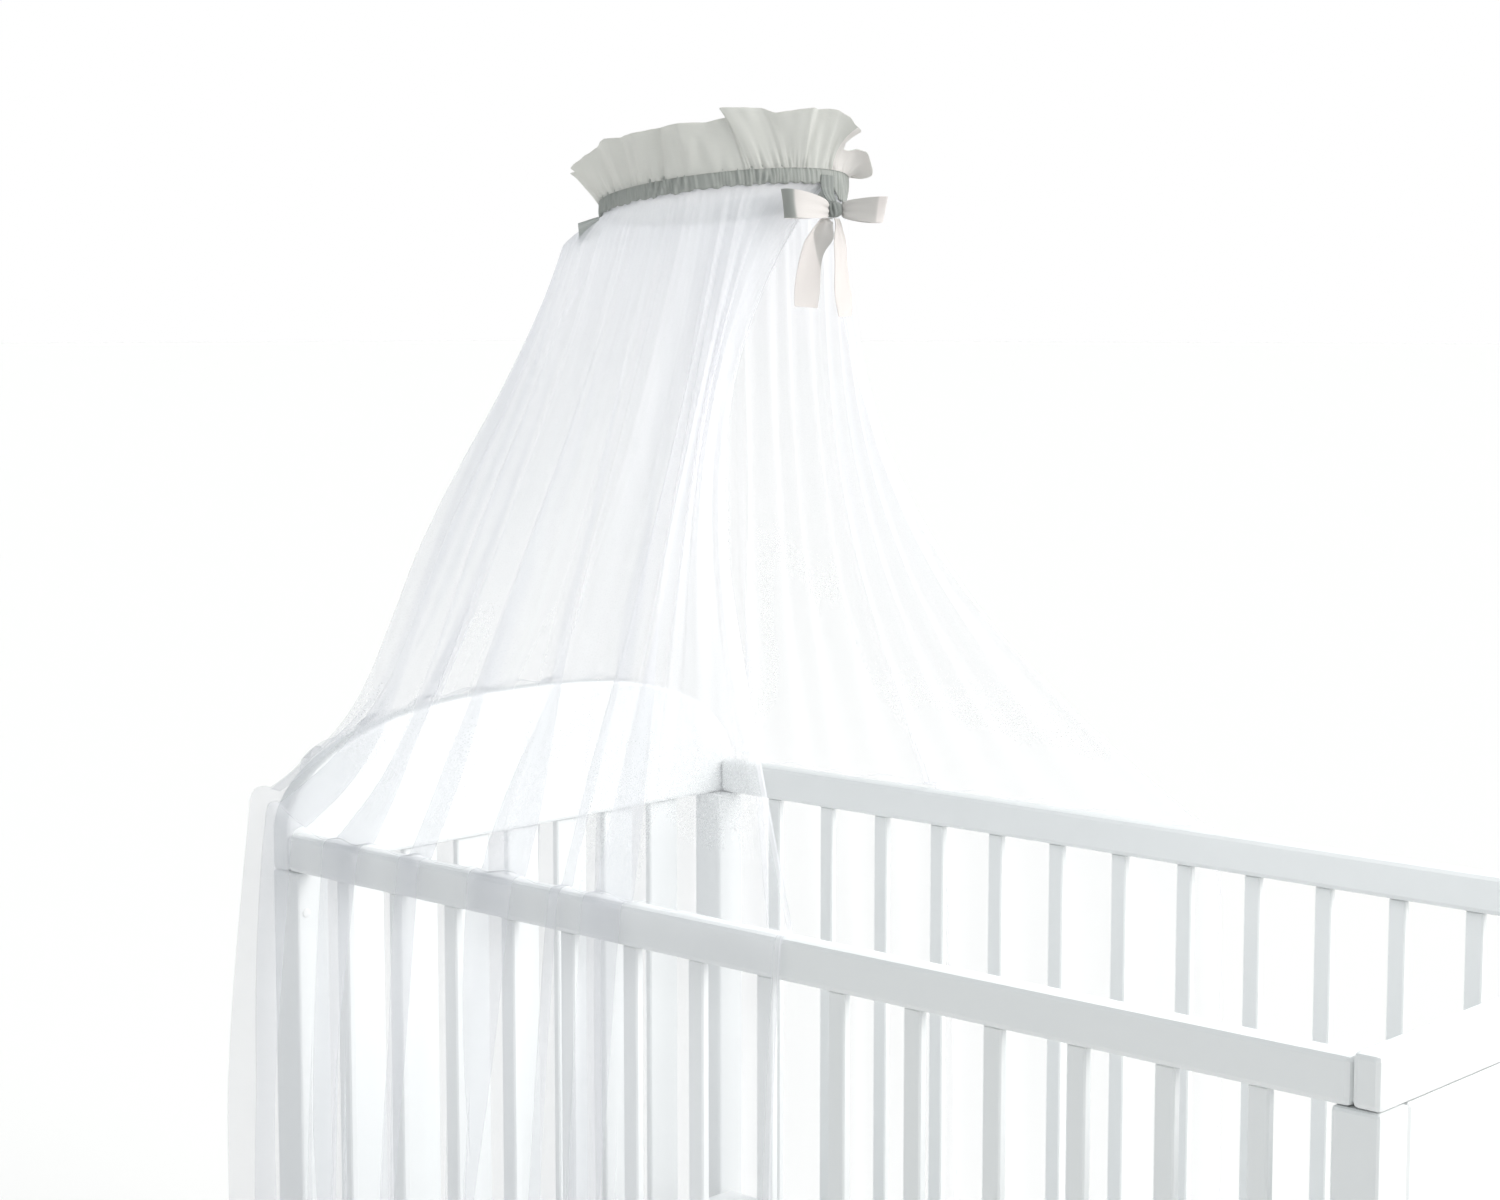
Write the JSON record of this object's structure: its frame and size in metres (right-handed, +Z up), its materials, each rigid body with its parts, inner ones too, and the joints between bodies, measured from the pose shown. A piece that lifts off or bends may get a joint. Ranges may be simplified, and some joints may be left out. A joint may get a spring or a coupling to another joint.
{
  "type": "mosquito net canopy with hoop on a cot",
  "caption": "Fine net canopy gathered on a small hoop with a frill and a ribbon bow, falling in soft folds over the head end of a white slatted cot.",
  "frame": {"origin": "on the floor, under the middle of the object's bounding box", "axes": "+X from the headboard to the foot, +Y from the near side, where the bow and the opening show, to the far side, +Z up"},
  "size_m": [1.3047, 0.748, 1.5679],
  "materials": {
    "white_net": "fine soft net, nearly clear",
    "sage_cotton": "matt plain cotton, sage outside and sand inside",
    "sand_ribbon": "matt cotton ribbon",
    "white_plastic": "matt",
    "white_paint": "satin white paint"
  },
  "bodies": {
    "root": {"base_board": "white_paint", "bow_knot": "sand_ribbon", "bow_loop_left": "sand_ribbon", "bow_loop_right": "sand_ribbon", "bow_neck": "sand_ribbon", "bow_tail_narrow": "sand_ribbon", "bow_tail_wide": "sand_ribbon", "foot_board": "white_paint", "foot_cap": "white_paint", "head_low_rail": "white_paint", "head_slat_1": "white_paint", "head_slat_2": "white_paint", "head_slat_3": "white_paint", "head_slat_4": "white_paint", "head_slat_5": "white_paint", "head_slat_6": "white_paint", "head_slat_7": "white_paint", "headboard_panel": "white_paint", "heading_band": "sage_cotton", "hoop": "white_plastic", "low_rail_far": "white_paint", "low_rail_near": "white_paint", "net": "white_net", "post_foot_far": "white_paint", "post_foot_near": "white_paint", "post_head_far": "white_paint", "post_head_near": "white_paint", "rail_far": "white_paint", "rail_near": "white_paint", "rear_tab": "sand_ribbon", "ruffle": "sage_cotton", "slat_far_01": "white_paint", "slat_far_02": "white_paint", "slat_far_03": "white_paint", "slat_far_04": "white_paint", "slat_far_05": "white_paint", "slat_far_06": "white_paint", "slat_far_07": "white_paint", "slat_far_08": "white_paint", "slat_far_09": "white_paint", "slat_far_10": "white_paint", "slat_far_11": "white_paint", "slat_far_12": "white_paint", "slat_far_13": "white_paint", "slat_far_14": "white_paint", "slat_near_01": "white_paint", "slat_near_02": "white_paint", "slat_near_03": "white_paint", "slat_near_04": "white_paint", "slat_near_05": "white_paint", "slat_near_06": "white_paint", "slat_near_07": "white_paint", "slat_near_08": "white_paint", "slat_near_09": "white_paint", "slat_near_10": "white_paint", "slat_near_11": "white_paint", "slat_near_12": "white_paint", "slat_near_13": "white_paint", "slat_near_14": "white_paint"}
  },
  "joints": []
}
